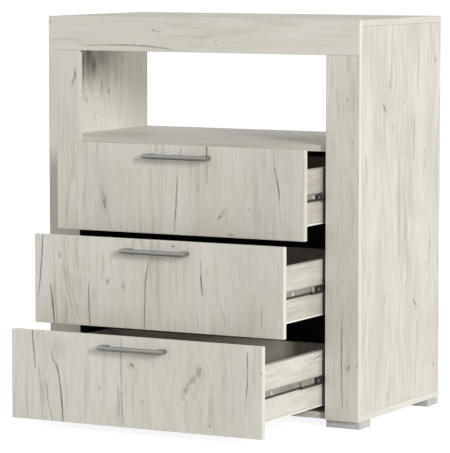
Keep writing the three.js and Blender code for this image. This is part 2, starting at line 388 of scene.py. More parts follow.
def add_cuboid(shape, low, high):
    verts = bmesh.ops.create_cube(shape, size=1.0)["verts"]
    bmesh.ops.scale(shape, vec=high - low, verts=verts)
    bmesh.ops.translate(shape, vec=(low + high) / 2, verts=verts)
    return verts


def cuboid(low, high):
    shape = bmesh.new()
    add_cuboid(shape, low, high)
    return shape


def round_edges(shape, edges, radius, segments=2):
    bmesh.ops.bevel(
        shape, geom=edges, offset=radius, offset_type="OFFSET",
        affect="EDGES", segments=segments, profile=0.5, material=-1,
    )


def oak_board(
    node, body, along, sheet, marks=(), low_marks=None,
    rounding=BOARD_ROUNDING, bands=EDGE_BANDS, contrast=1.0, tone=0.0,
):
    """A decor board in place of its CAD node, faces and edge bands each with their own finish.

    Every sheet number is another cut of the decor. With low_marks, the face on its low side
    has a print of its own with those marks.
    """
    low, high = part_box(node)
    size = high - low
    through = min((X, Y, Z), key=lambda axis: size[axis])
    across = 3 - through - along
    place = (low, across, through, along)
    finishes = [
        oak_face(node + "_decor", *place, sheet, marks, contrast, tone),
        bands[along],
        bands[across],
    ]
    if low_marks is not None:
        other_sheet = sheet + LOW_SHEETS
        name = node + "_low_decor"
        finishes.append(oak_face(name, *place, other_sheet, low_marks, contrast, tone))
    shape = cuboid(low, high)
    for side in shape.faces:
        facing = max((X, Y, Z), key=lambda axis: abs(side.normal[axis]))
        if facing != through:
            side.material_index = 1 if facing == across else 2
        elif low_marks is not None and side.normal[through] < 0:
            side.material_index = 3
    round_edges(shape, shape.edges[:], rounding)
    return show(node + "_board", shape, body, node, finishes)


# Marks on the right side panel: cracks and knots, from its front edge and its foot.
side_marks = [
    crack((172, 886), (172, 824), 2.6, 0.5),
    knot(163, 818, 7, 12, 0.32),
    crack((328, 965), (328, 795), 2.6, 0.52, bow=3),
    knot(393, 880, 3, 16, 0.36),
    knot(437, 875, 6, 6, 0.45),
    knot(252, 774, 6, 7, 0.5),
    knot(213, 778, 4, 16, 0.15),
    knot(130, 762, 5, 12, 0.75, lean=-0.9),
    knot(179, 710, 5, 10, 0.45, lean=0.4),
    knot(103, 683, 5, 7, 0.3),
    crack((310, 744), (308, 616), 2.6, 0.62),
    crack((21, 654), (32, 580), 2.6, 0.55),
    knot(242, 640, 4, 8, 0.25),
    knot(376, 640, 5, 5, 0.4),
    crack((374, 632), (374, 586), 2.2, 0.42),
    crack((221, 634), (222, 460), 2.6, 0.62, bow=-2),
    crack((220, 520), (222, 368), 2.4, 0.5, bow=-2),
    crack((406, 460), (406, 338), 2.2, 0.42, bow=4),
    knot(389, 344, 6, 10, 0.3),
    crack((2, 420), (30, 330), 2.2, 0.3),
    crack((150, 300), (120, 246), 5, 0.25, bow=4),
    knot(318, 251, 5, 14, 0.65, lean=-1),
    crack((332, 207), (332, 126), 2.2, 0.4),
    crack((327, 111), (327, 19), 2, 0.32),
    crack((173, 90), (173, 40), 2.6, 0.4),
    knot(161, 30, 7, 12, 0.2),
    knot(439, 74, 5, 7, 0.45),
    knot(392, 92, 4, 14, 0.22),
    crack((116, 150), (116, 112), 1.8, 0.22),
    stain_and_shade(72, 670, 18, 120, 0.15),
    stain_and_shade(172, 920, 9, 70, 0.14),
    stain_and_shade(131, 265, 9, 50, 0.13),
]
# Painted shade: the right side panel's lower tone tempers the two lamps on that side.
oak_board("side_panel_right", "chest", Z, 1, side_marks, contrast=0.75, tone=-0.03)

# The left one shows its inner face in the niche, with darker upright bands of grain and small
# knots.
# At the top near the front, dark patches and wide streaks over the grain are painted shade.
# Its outer face has a print of its own.
niche_marks_and_painted_shade = [
    knot(263, 778, 7, 7, 0.65),
    knot(146, 761, 9, 10, 0.45, lean=-0.6),
    crack((200, 727), (182, 702), 3, 0.45),
    # Painted shade, over darker grain, in the niche's top front corner under the rail: these
    # patches and the three wide streaks after them.
    stain_and_shade(112, 900, 28, 115, 0.82),
    stain_and_shade(158, 905, 30, 105, 0.8),
    stain_and_shade(222, 925, 40, 85, 0.62),
    stain_and_shade(184, 850, 22, 36, 0.72),
    stain_and_shade(226, 790, 10, 36, 0.34),
    stain_and_shade(130, 850, 8, 80, 0.8),
    crack((187, 812), (188, 1000), 6, 0.5, shake=3),
    crack((252, 790), (250, 1000), 6, 0.26, shake=3),
    crack((334, 848), (334, 1000), 6, 0.3, shake=3),
    crack((190, 900), (190, 800), 4, 0.3),
    crack((300, 880), (303, 790), 3, 0.25),
    crack((333, 860), (331, 700), 3, 0.22),
    crack((243, 870), (245, 690), 4, 0.2),
]
outer_marks = side_marks[::2]
oak_board("side_panel_left", "chest", Z, 2, niche_marks_and_painted_shade, low_marks=outer_marks, tone=0.09)

# Bottom and top panels: decor boards over the full width, grain from side to side.
# The sides are dowelled and cammed between them, so their edges show at the sides.

GREY_BANDS = edge_bands("grey_edge_band_", OAK_GREY, colour(212, 208, 198), OAK_PALE)
top_marks = [
    crack((110, 150), (104, 330), 2.6, 0.5, bow=3),
    crack((300, 520), (306, 700), 2.6, 0.5, bow=-3),
    crack((395, 80), (392, 240), 2.4, 0.4),
    crack((190, 760), (184, 880), 2.4, 0.45, bow=2),
    knot(215, 430, 6, 10, 0.5),
    knot(350, 800, 6, 8, 0.45),
    knot(80, 640, 5, 12, 0.45, lean=0.5),
    knot(420, 400, 5, 8, 0.4),
]
oak_board("bottom_panel", "chest", X, 3)
# Painted shade: the top panel's lower tone darkens the light that falls on its top.
oak_board("top_panel", "chest", X, 4, top_marks, bands=GREY_BANDS, tone=-0.09)

# Shelf: the floor of the niche, dowelled between the sides, grain from side to side.
# Its banded front edge shows over the top drawer.

shelf_marks = [knot(100, 52, 8, 4, 0.3), stain_and_shade(160, 420, 20, 20, 0.2)]
# Painted light: the shelf's raised tone brightens it against the shade in the niche.
oak_board("shelf", "chest", X, 5, shelf_marks, contrast=1.2, tone=0.16)

# Partitions: upright boards beside the drawers, flush with the frame's opening. They carry the
# slides, and their near-black face is painted shade that keeps the inside dark round the drawers.


def mottled(name, waves, detail, dark, light, strength, **sockets):
    """A finish that varies between two tints in a fine pattern, which is its relief too."""
    material, place = finish(name, **sockets)
    cloud = noise(place, waves, detail)
    tint = ramp(cloud, (0.3, dark), (0.7, light))
    coat(tint, cloud, FINE_RELIEF, strength)
    return material


FINE_EDGE = 0.0003
FACING_SHARE = 0.9
PAINTED_SHADE_BOARD = mottled(
    "painted_shade_board_face", (160, 12, 160), 2.0,
    colour(17, 16, 15), colour(27, 25, 23), 0.5, Roughness=0.6,
)


def plain_board(node, body, finishes, dark_side=None):
    """A board with one finish all over, or with its second one on the side facing that way."""
    low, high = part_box(node)
    shape = cuboid(low, high)
    for face in shape.faces:
        if dark_side is not None and face.normal.dot(Vector(dark_side)) > FACING_SHARE:
            face.material_index = 1
    round_edges(shape, shape.edges[:], FINE_EDGE)
    return show(node + "_board", shape, body, node, finishes)


for hand in ("left", "right"):
    plain_board("partition_" + hand, "chest", [PAINTED_SHADE_BOARD])

# Back panel: 4 mm fibreboard over the drawer space, white outside and near black inside as
# painted shade, nailed to the boards round it. The niche above it stays open.

NAIL_HEAD = 0.0022
NAIL_THICKNESS = 0.00038
NAIL_DEPTH = 0.0004
NAIL_INSET = 0.008
NAIL_PITCH = 0.13


def white_paint():
    material, place = finish("white_painted_fibreboard", Roughness=0.55)
    cloud = noise(place, (9, 9, 9), 2.0)
    fibre = noise(place, (900, 900, 900), 1.0)
    tint = ramp(cloud, (0.3, colour(236, 234, 227)), (0.7, colour(244, 243, 238)))
    coat(tint, fibre, FINE_RELIEF, 0.5)
    return material


WHITE_PAINT = white_paint()
back = plain_board("back_panel", "chest", [WHITE_PAINT, PAINTED_SHADE_BOARD], dark_side=(0, -1, 0))


def spaced(low, high, pitch):
    """Even places from low to high, about a pitch apart."""
    count = max(1, round((high - low) / pitch))
    return [low + (high - low) * step / count for step in range(count + 1)]


RIM_SHARE = 0.85


def disc(shape, middle, facing, radius, depth, segments=16):
    """A low round head that narrows to its face, its back at the middle."""
    turn = Vector((0, 0, 1)).rotation_difference(Vector(facing)).to_matrix()
    head = bmesh.ops.create_cone(
        shape, cap_ends=True, segments=segments,
        radius1=radius, radius2=radius * RIM_SHARE, depth=depth,
    )["verts"]
    bmesh.ops.rotate(shape, verts=head, cent=(0, 0, 0), matrix=turn)
    bmesh.ops.translate(shape, verts=head, vec=middle + Vector(facing) * depth / 2)


ROLLED_RELIEF = 0.00003


def zinc_plate(name, dark, light):
    """Zinc-plated steel: faint cloudy blotches and fine rolling lines."""
    material, place = finish(name, Metallic=1.0)
    cloud = noise(place, (70, 18, 70), 3.0)
    rolled = noise(place, (2200, 25, 2200), 1.0)
    mixed = maths("MULTIPLY_ADD", cloud, 0.7, maths("MULTIPLY", rolled, 0.3))
    tint = ramp(mixed, (0.35, dark), (0.65, light))
    coat(tint, rolled, ROLLED_RELIEF, 0.5, maths("MULTIPLY_ADD", cloud, 0.3, 0.25))
    return material


ZINC = zinc_plate("zinc_plate", colour(178, 176, 169), colour(204, 202, 195))


def back_nails():
    """Nail heads round the back panel's border, sunk flush into its rear face."""
    low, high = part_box("back_panel")
    shape = bmesh.new()
    rear = high.y - NAIL_DEPTH
    row = spaced(low.x + NAIL_INSET, high.x - NAIL_INSET, NAIL_PITCH)
    column = spaced(low.z + NAIL_INSET, high.z - NAIL_INSET, NAIL_PITCH)
    places = [(x, z) for x in row for z in (column[0], column[-1])]
    places += [(x, z) for z in column[1:-1] for x in (row[0], row[-1])]
    for x, z in places:
        disc(shape, Vector((x, rear, z)), (0, 1, 0), NAIL_HEAD, NAIL_THICKNESS)
    show("back_panel_nails", shape, "chest", None, [ZINC])


back_nails()

# Face frame: a full-width rail with level grain over two upright stiles, glued to the front
# edges of the body. It is one board thick, and its opening is closed with edge bands.

PALE_TINTS = (OAK_PALE, colour(226, 223, 214), colour(235, 232, 225))
PALE_BANDS = edge_bands("pale_edge_band_", *PALE_TINTS)
STILE_PAINTED_SHADE = colour(24, 23, 21)
BAND_REACH = 0.001
rail_marks = [
    crack((12, 98), (16, 240), 2.4, 0.42, bow=1, shake=1),
    crack((14, 165), (6, 375), 2.6, 0.62, bow=5, shake=1),
    knot(55, 316, 3.5, 7, 0.62, lean=-0.5),
    knot(52, 332, 3.5, 9, 0.26, lean=0.4),
    knot(30, 495, 3, 5, 0.35),
    knot(73, 6, 4, 5, 0.45),
    crack((24, 1), (24, 110), 3, 0.16, bow=4),
]
left_stile_marks = [
    knot(80, 851, 5, 18, 0.66),
    knot(73, 834, 4, 14, 0.54, lean=0.2),
]
right_stile_marks = [
    knot(59, 806, 4, 5, 0.4),
    knot(75, 700, 5, 18, 0.28),
    knot(53, 583, 3, 4, 0.22),
    crack((48, 272), (50, 29), 2.4, 0.75, bow=-3),
    crack((68, 275), (68, 219), 2.2, 0.35),
    knot(66, 136, 6, 12, 0.62, lean=0.3),
    knot(90, 143, 4, 8, 0.6),
    knot(30, 403, 4, 5, 0.25),
    knot(8, 230, 5, 16, 0.28),
    knot(83, 87, 5, 16, 0.22),
    # Painted shade: a broad faint patch that darkens the lower part of the stile.
    stain_and_shade(46, 300, 300, 500, 0.17),
]


def stile_band():
    """Upright band of the stiles: pale, but near black inside the opening beside the drawers, as
    painted shade.
    """
    material = edge_band("stile_edge_band_painted_shade_", Z, *PALE_TINTS)
    tree = material.node_tree
    base = tree.nodes["Principled BSDF"].inputs["Base Color"]
    place = add(tree, "TexCoord").outputs["Object"]
    parts = add(tree, "SeparateXYZ", {0: place}).outputs
    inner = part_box("frame_stile_right")[0].x + BAND_REACH
    inside = maths("LESS_THAN", maths("ABSOLUTE", parts[X]), inner)
    below = maths("LESS_THAN", parts[Z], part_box("shelf")[0].z)
    share = maths("MULTIPLY", inside, below)
    tint = blended(share, base.links[0].from_socket, STILE_PAINTED_SHADE)
    tree.links.new(tint, base)
    return material


FRAME_BANDS = [PALE_BANDS[X], PALE_BANDS[Y], stile_band()]


def frame_board(node, along, sheet, marks, **look):
    oak_board(node, "chest", along, sheet, marks, bands=FRAME_BANDS, **look)


frame_board("frame_rail", X, 8, rail_marks, contrast=0.5, tone=0.05)
frame_board("frame_stile_left", Z, 36, left_stile_marks, contrast=0.7, tone=0.05)
frame_board("frame_stile_right", Z, 10, right_stile_marks, contrast=0.95, tone=0.04)

# Feet: flat moulded blocks of grey plastic under the corners, with round upright corners.
# Each has a small chamfer round its tread, and is screwed on from inside.

FOOT_CORNER = 0.004
FOOT_TREAD_EDGE = 0.0012
MOULD_RELIEF = 0.00008
TOUCH = 0.00001


def grey_plastic():
    material, place = finish("moulded_grey_plastic")
    grain = noise(place, (1500, 1500, 1500), 1.0)
    scuff = noise(place, (25, 25, 60), 3.0)
    tint = ramp(scuff, (0.3, colour(190, 190, 188)), (0.7, colour(204, 204, 201)))
    coat(tint, grain, MOULD_RELIEF, 0.6, maths("MULTIPLY_ADD", scuff, 0.25, 0.3))
    return material


GREY_PLASTIC = grey_plastic()


def is_upright(edge):
    run = edge.verts[1].co - edge.verts[0].co
    return abs(run.z) > FACING_SHARE * run.length


def foot(node):
    low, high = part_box(node)
    shape = cuboid(low, high)
    upright = [edge for edge in shape.edges if is_upright(edge)]
    round_edges(shape, upright, FOOT_CORNER, segments=5)
    ground = low.z + TOUCH
    tread = [edge for edge in shape.edges if all(vert.co.z < ground for vert in edge.verts)]
    round_edges(shape, tread, FOOT_TREAD_EDGE)
    show(node + "_block", shape, "chest", node, [GREY_PLASTIC])


for row in ("front", "rear"):
    for hand in ("left", "right"):
        foot(f"foot_{row}_{hand}")

# Drawer boxes: sides and back of the same decor board, grain running round the box, over a
# fibreboard bottom that is nailed on from below, white underneath and dark grey on top as
# painted shade. The front is fixed with cams.

DRAWERS = ("top", "middle", "bottom")
CAM_RADIUS = 0.0075
CAM_STAND = 0.0005
CAM_FROM_FRONT = 0.034
CAM_FROM_EDGE = 0.035
FIRST_BOX_SHEET = 20
BOARDS_PER_BOX = 3
BOX_TONES = (-0.13, -0.09, -0.01)
# Painted shade: the much darker tone of the drawer backs keeps the inside of the chest dark.
BOX_BACK_PAINTED_SHADE = -0.3
box_marks = {
    "top": [knot(60, 300, 4, 6, 0.2)],
    "middle": [crack((90, 60), (92, 180), 1.5, 0.18)],
    "bottom": [
        crack((118, 280), (125, 327), 2.4, 0.6, shake=2),
        crack((108, 252), (113, 290), 2.2, 0.35, shake=2),
        crack((130, 283), (135, 322), 2.2, 0.28, shake=2),
    ],
}


def painted_shade_print():
    """Upper face of a drawer bottom, dark grey as painted shade, with a fine linen weave."""
    material, place = finish("grey_linen_painted_shade", Roughness=0.6)
    warp = noise(place, (900, 60, 60), 1.0)
    weft = noise(place, (60, 900, 60), 1.0)
    weave = maths("MULTIPLY", maths("ADD", warp, weft), 0.5)
    tint = ramp(weave, (0.35, colour(48, 43, 38)), (0.65, colour(68, 62, 55)))
    coat(tint, weave, FINE_RELIEF, 0.4)
    return material


BOTTOM_FINISHES = [WHITE_PAINT, painted_shade_print()]


def drawer_cams(body):
    """Cam discs in the inner face of both sides, which pull the front tight."""
    shape = bmesh.new()
    for hand, inward in (("left", 1), ("right", -1)):
        low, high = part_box(f"{body}_side_{hand}")
        inner = high.x if inward > 0 else low.x
        for z in (low.z + CAM_FROM_EDGE, high.z - CAM_FROM_EDGE):
            middle = Vector((inner, low.y + CAM_FROM_FRONT, z))
            disc(shape, middle, (inward, 0, 0), CAM_RADIUS, CAM_STAND, segments=24)
    show(body + "_cams", shape, body, None, [ZINC])


for number, drawer in enumerate(DRAWERS):
    body = drawer + "_drawer"
    tone = BOX_TONES[number]
    sheet = FIRST_BOX_SHEET + BOARDS_PER_BOX * number
    for turn, hand in enumerate(("left", "right")):
        board = f"{body}_side_{hand}"
        oak_board(board, body, Y, sheet + turn, box_marks[drawer], contrast=0.8, tone=tone)
    oak_board(f"{body}_back", body, X, sheet + 2, tone=BOX_BACK_PAINTED_SHADE)
    bottom = plain_board(f"{body}_bottom", body, BOTTOM_FINISHES, dark_side=(0, 0, 1))
    drawer_cams(body)

# Drawer fronts: one decor board each, grain upright, with thicker rounded bands all round.
# Every front was cut from its own sheet, so each has its own cracks and knots.

FRONT_ROUNDING = 0.001
FIRST_FRONT_SHEET = 11
FRONT_BANDS = {"top": GREY_BANDS, "middle": PALE_BANDS, "bottom": PALE_BANDS}
FRONT_TONES = (0.05, 0.03, 0.05)
front_marks = {
    "top": [
        crack((364, 226), (364, 196), 1.6, 0.4),
        crack((355, 160), (344, 0), 2.2, 0.55, shake=2),
        crack((354, 140), (348, 40), 2.8, 0.75, shake=1),
        crack((438, 250), (438, 186), 2.6, 0.85, shake=1),
        crack((438, 192), (438, 130), 2.2, 0.5, shake=1),
        crack((132, 113), (137, 86), 2.6, 0.46, bow=1, shake=2),
        crack((135, 98), (145, 68), 3, 0.66, bow=3, shake=2),
        crack((139, 82), (145, 56), 3.6, 0.95, bow=-2, shake=1),
        crack((129, 88), (136, 50), 2.2, 0.3, bow=-2, shake=2),
        stain_and_shade(135, 80, 17, 45, 0.2),
        stain_and_shade(131, 115, 40, 150, 0.12),
        stain_and_shade(577, 110, 12, 160, 0.26),
        stain_and_shade(580, 65, 28, 40, 0.25),
        knot(507, 7, 10, 4, 0.55),
        crack((126, 130), (166, 0), 1.6, 0.26, bow=-5),
        crack((628, 226), (627, 165), 3.6, 0.34, shake=2),
        crack((628, 186), (637, 140), 3.6, 0.66, shake=2),
        crack((633, 160), (643, 96), 3.4, 0.78, bow=2, shake=2),
        crack((641, 112), (648, 30), 2.8, 0.32),
        arch(659, 220, 24, 42, 5.6, 0.2),
        arch(668, 172, 18, 60, 4.8, 0.15),
        arch(664, 128, 18, 60, 4.8, 0.11),
        knot(680, 180, 7, 14, 0.28),
        knot(676, 135, 6, 12, 0.3),
        knot(475, 50, 6, 7, 0.66, lean=0.8),
        knot(484, 62, 6, 13, 0.3, lean=0.9),
        knot(558, 74, 6, 6, 0.38),
        knot(683, 55, 5, 12, 0.28),
        knot(412, 123, 4, 10, 0.3),
        knot(276, 150, 4, 20, 0.22),
        crack((276, 145), (277, 108), 2, 0.3),
        crack((45, 170), (43, 120), 5, 0.2),
        crack((27, 98), (27, 0), 1.6, 0.4),
        crack((495, 90), (495, 14), 1.4, 0.22),
        # Painted shade: a broad faint patch that darkens the right third of the front.
        stain_and_shade(640, 110, 130, 300, 0.17),
    ],
    "middle": [
        crack((26, 250), (10, 64), 2.8, 0.75, bow=2, shake=2),
        crack((46, 104), (58, -8), 3.2, 0.85, bow=1, shake=2),
        knot(74, 174, 4, 9, 0.5),
        crack((86, 150), (112, 40), 2.4, 0.42, bow=-3),
        crack((94, 146), (106, 80), 2.4, 0.3, bow=1),
        crack((112, 80), (128, 20), 2.2, 0.34, bow=3),
        crack((108, 206), (136, 130), 1.8, 0.18, bow=-10),
        crack((124, 212), (152, 140), 1.8, 0.16, bow=-12),
        crack((159, 112), (163, -4), 2.4, 0.75, bow=-1, shake=1),
        crack((160, 107), (172, 118), 1.4, 0.4, bow=-2),
        knot(215, 116, 6, 8, 0.55),
        stain_and_shade(261, 106, 7, 14, 0.36),
        crack((333, 172), (323, 90), 2.8, 0.62, bow=-2, shake=2),
        crack((324, 125), (321, -4), 2.4, 0.62, shake=1),
        crack((362, 240), (362, 6), 2.2, 0.26, shake=1),
        crack((481, 185), (485, 130), 2.2, 0.5, shake=2),
        crack((482, 150), (488, 92), 3, 0.8, bow=-1, shake=2),
        knot(500, 153, 4, 12, 0.32),
        knot(404, 214, 6, 5, 0.6),
        crack((458, 74), (474, 6), 2, 0.25, bow=5),
        crack((450, 60), (462, 10), 1.6, 0.2, bow=4),
        crack((536, 80), (553, 20), 2, 0.4, bow=2),
        crack((652, 84), (652, 18), 2.2, 0.55),
        knot(300, 190, 6, 10, 0.15),
        # Painted shade: a broad faint patch that darkens the right third of the front.
        stain_and_shade(630, 110, 130, 300, 0.12),
        stain_and_shade(493, 110, 18, 80, 0.13),
        stain_and_shade(172, 75, 16, 50, 0.12),
    ],
    "bottom": [
        crack((59, 246), (70, 128), 2.8, 0.72, shake=2),
        crack((78, 150), (89, 4), 2.4, 0.36, bow=2, shake=2),
        crack((100, 108), (108, 40), 2.6, 0.52, shake=2),
        crack((106, 52), (120, -4), 2.4, 0.42, shake=2),
        crack((116, 180), (124, 146), 2.8, 0.62, shake=1),
        crack((126, 156), (138, 118), 2.6, 0.55, shake=1),
        crack((134, 146), (150, -6), 3.4, 0.78, bow=3, shake=2),
        crack((152, 126), (155, 30), 2.2, 0.24, bow=8, shake=2),
        crack((319, 226), (319, 90), 1.8, 0.65),
        crack((319, 102), (325, 4), 2.6, 0.55, bow=-1, shake=1),
        crack((310, 112), (315, 26), 2.8, 0.5, bow=-1, shake=1),
        stain_and_shade(319, 82, 10, 7, 0.34),
        knot(350, 157, 5, 7, 0.85, lean=-0.8),
        knot(341, 152, 4, 12, 0.3, lean=-0.7),
        knot(538, 151, 9, 18, 0.44),
        knot(522, 131, 12, 12, 0.4, lean=0.6),
        knot(502, 106, 8, 16, 0.44, lean=0.4),
        stain_and_shade(543, 160, 3, 5, 0.6),
        stain_and_shade(535, 147, 3, 6, 0.66),
        stain_and_shade(542, 142, 3, 4, 0.55),
        stain_and_shade(524, 138, 3, 4, 0.6),
        stain_and_shade(517, 130, 3, 6, 0.62),
        stain_and_shade(528, 126, 3, 4, 0.48),
        stain_and_shade(509, 121, 3, 5, 0.55),
        stain_and_shade(505, 100, 3, 5, 0.45),
        crack((672, 214), (672, 140), 2.6, 0.72),
        crack((673, 152), (668, 90), 2.8, 0.7),
        crack((669, 104), (668, 50), 2.2, 0.3),
        knot(257, 94, 5, 5, 0.35),
        knot(381, 67, 6, 6, 0.3),
        knot(569, 22, 4, 5, 0.6),
        knot(710, 161, 4, 4, 0.6),
        crack((269, 205), (269, 10), 2.4, 0.16),
        crack((40, 90), (46, 4), 3, 0.2),
        # Painted shade: a broad faint patch that darkens the right third of the front.
        stain_and_shade(650, 110, 110, 300, 0.09),
        stain_and_shade(135, 185, 30, 30, 0.17),
        stain_and_shade(310, 30, 16, 40, 0.19),
    ],
}

for number, drawer in enumerate(DRAWERS):
    front = f"{drawer}_drawer_front"
    oak_board(
        front, drawer + "_drawer", Z, FIRST_FRONT_SHEET + number, front_marks[drawer],
        rounding=FRONT_ROUNDING, bands=FRONT_BANDS[drawer],
        contrast=0.9, tone=FRONT_TONES[number],
    )

# Handles: cast bow handles in satin grey, a flat foot at each end and a bar that is rounded
# at its front. Two screws hold each from inside the drawer.

HANDLE_FOOT = 0.028
HANDLE_NECK = 0.014
HANDLE_BAR = 0.008
HANDLE_CORNER = 0.010
HANDLE_BEND = 0.023
HANDLE_ROUND = 0.005
BRUSHED_RELIEF = 0.00004


def satin_metal():
    material, place = finish("satin_metal", Metallic=1.0)
    brushed = noise(place, (60, 2600, 2600), 2.0)
    worn = noise(place, (40, 40, 40), 2.0)
    tint = ramp(brushed, (0.3, colour(156, 154, 150)), (0.7, colour(170, 168, 164)))
    coat(tint, brushed, BRUSHED_RELIEF, 0.5, maths("MULTIPLY_ADD", worn, 0.2, 0.28))
    return material


SATIN_METAL = satin_metal()


def smooth(piece, angle=35):
    """Smooth shading, but for the edges that turn by more than the angle in degrees."""
    piece.data.shade_smooth()
    piece.data.set_sharp_from_angle(angle=math.radians(angle))


def handle(drawer):
    """The bow drawn from above as one flat face, its corners rounded, then made thick."""
    node = f"{drawer}_drawer_handle"
    low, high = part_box(node)
    bar_back = low.y + HANDLE_BAR
    corners = [
        (low.x, high.y), (low.x, low.y), (high.x, low.y), (high.x, high.y),
        (high.x - HANDLE_FOOT, high.y), (high.x - HANDLE_NECK, bar_back),
        (low.x + HANDLE_NECK, bar_back), (low.x + HANDLE_FOOT, high.y),
    ]
    shape = bmesh.new()
    points = [shape.verts.new((x, y, low.z)) for x, y in corners]
    shape.faces.new(points)
    for pair, radius in ((points[1:3], HANDLE_CORNER), (points[5:7], HANDLE_BEND)):
        bmesh.ops.bevel(
            shape, geom=pair, offset=radius, offset_type="OFFSET",
            affect="VERTICES", segments=8, profile=0.5, material=-1,
        )
    outline = shape.faces[:][0]
    raised = bmesh.ops.extrude_face_region(shape, geom=[outline])
    lifted = [part for part in raised["geom"] if isinstance(part, bmesh.types.BMVert)]
    bmesh.ops.translate(shape, vec=(0, 0, high.z - low.z), verts=lifted)
    board = high.y - TOUCH
    rims = [
        edge for edge in shape.edges
        if not is_upright(edge) and not all(vert.co.y > board for vert in edge.verts)
    ]
    round_edges(shape, rims, HANDLE_ROUND, segments=4)
    piece = show(node + "_bow", shape, drawer + "_drawer", node, [SATIN_METAL])
    smooth(piece)


for drawer in DRAWERS:
    handle(drawer)

# Handle screws: zinc-plated pan-head screws, put in from inside each drawer front.
# Two hold each handle, and only their heads show.

HEAD_HEIGHT = 0.0025
HEAD_ROUND = 0.0016
CROWN_HEIGHT = 0.0003
CROWN_SHARE = 0.7
TIP_HEIGHT = 0.001
TIP_SHARE = 0.6


def screw(node, body):
    """Shank and head turned round the screw's axis, the head's rim rounded over."""
    low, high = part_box(node)
    middle = (low + high) / 2
    head = (high.x - low.x) / 2
    shank = head / 2
    head_front = high.y - HEAD_HEIGHT
    profile = [
        (0.0, low.y), (shank * TIP_SHARE, low.y), (shank, low.y + TIP_HEIGHT),
        (shank, head_front), (head, head_front), (head, high.y - HEAD_ROUND),
        (head * CROWN_SHARE, high.y - CROWN_HEIGHT), (0.0, high.y),
    ]
    shape = bmesh.new()
    points = [shape.verts.new((middle.x + radius, y, middle.z)) for radius, y in profile]
    edges = [shape.edges.new(pair) for pair in zip(points, points[1:])]
    bmesh.ops.spin(
        shape, geom=points + edges, cent=middle, axis=(0, 1, 0), angle=math.tau,
        steps=20, use_merge=True,
    )
    bmesh.ops.remove_doubles(shape, verts=shape.verts, dist=TINY)
    piece = show(node + "_pan_head", shape, body, node, [ZINC])
    smooth(piece, angle=50)


for drawer in DRAWERS:
    for hand in ("left", "right"):
        screw(f"{drawer}_drawer_handle_screw_{hand}", drawer + "_drawer")

# Slides: full-extension ball-bearing slides, three zinc-plated rails of folded steel each.
# The outer rail is screwed to the partition, the inner one to the drawer's side, and the
# middle one runs between them on balls held in a dark plastic cage.

SHEET = 0.0012
FOLD = 0.0004
OPENING_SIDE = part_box("partition_right")[0].x
FRAME_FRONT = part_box("frame_stile_right")[0].y
FRONT_STAND_OFF = 0.0015
HOLE_PLACES = (0.035, 0.160, 0.300, 0.410)
PAD_PLACES = (0.042, 0.350)
PAD_LENGTH = 0.0064
NOSE_PAD_PLACE = 0.006
NOSE_PLATE = 0.013
NOSE_PAD_ROOM = 3 * NOSE_PLATE
NOSE_RIM = 0.001
WINDOW_REACH = 0.055
WINDOW_BEHIND = 0.030
TRACK_TOP = -0.0024
CAGE_REACH = 0.046
CAGE_CLEARANCE = 0.0006
CAGE_HALF_HEIGHT = 0.0082
CAGE_ACROSS = (0.0034, 0.0044)
STOP_ACROSS = (0.0032, 0.0056)
STOP_LENGTH = 0.004
RIVET_FROM_FRAME = 0.028
RIVET_RADIUS = 0.004
RIVET_HEIGHT = 0.0006

# Rail profiles: (across from the partition, up from the axis), along the sheet's middle.
CABINET_PROFILE = [
    (0.0109, 0.0140), (0.0105, 0.0146), (0.0009, 0.0146), (0.0009, 0.0042),
    (0.0009, -0.0042), (0.0009, -0.0146), (0.0105, -0.0146), (0.0109, -0.0140),
]
MIDDLE_PROFILE = [
    (0.0056, 0.0094), (0.0025, 0.0094), (0.0025, 0.0078), (0.0025, TRACK_TOP),
    (0.0025, -0.0078), (0.0025, -0.0094), (0.0056, -0.0094),
]
DRAWER_PROFILE = [
    (0.0117, 0.0092), (0.0100, 0.0094), (0.0078, 0.0084), (0.0066, 0.0064),
    (0.0064, TRACK_TOP), (0.0067, -0.0042), (0.0080, -0.0074), (0.0100, -0.0094),
    (0.0117, -0.0094),
]


def nylon(name, dark, light):
    return mottled(name, (300, 300, 300), 1.0, dark, light, 0.3, Roughness=0.4)


# Painted shade on the steel of the lower ball track, which faces down, and beside the windows: dark
# and half dull.
TRACK_PAINTED_SHADE = mottled(
    "ball_track_painted_shade", (200, 30, 200), 2.0,
    colour(52, 48, 41), colour(84, 79, 70), 0.4, Metallic=0.2, Roughness=0.5,
)
CAGE_PLASTIC = mottled(
    "dark_cage_plastic", (900, 300, 900), 2.0,
    colour(14, 13, 10), colour(26, 24, 20), 0.5, Roughness=0.5,
)
WHITE_NYLON = nylon("white_nylon_pad", colour(222, 220, 212), colour(236, 234, 228))
GREY_NYLON = nylon("grey_nylon_stop", colour(148, 145, 138), colour(166, 163, 155))
RIVET_STEEL = zinc_plate("rivet", colour(140, 138, 132), colour(170, 168, 162))
RAIL_FINISHES = [ZINC, TRACK_PAINTED_SHADE, WHITE_NYLON, GREY_NYLON]
CAGE_FINISHES = [CAGE_PLASTIC, RIVET_STEEL, GREY_NYLON]


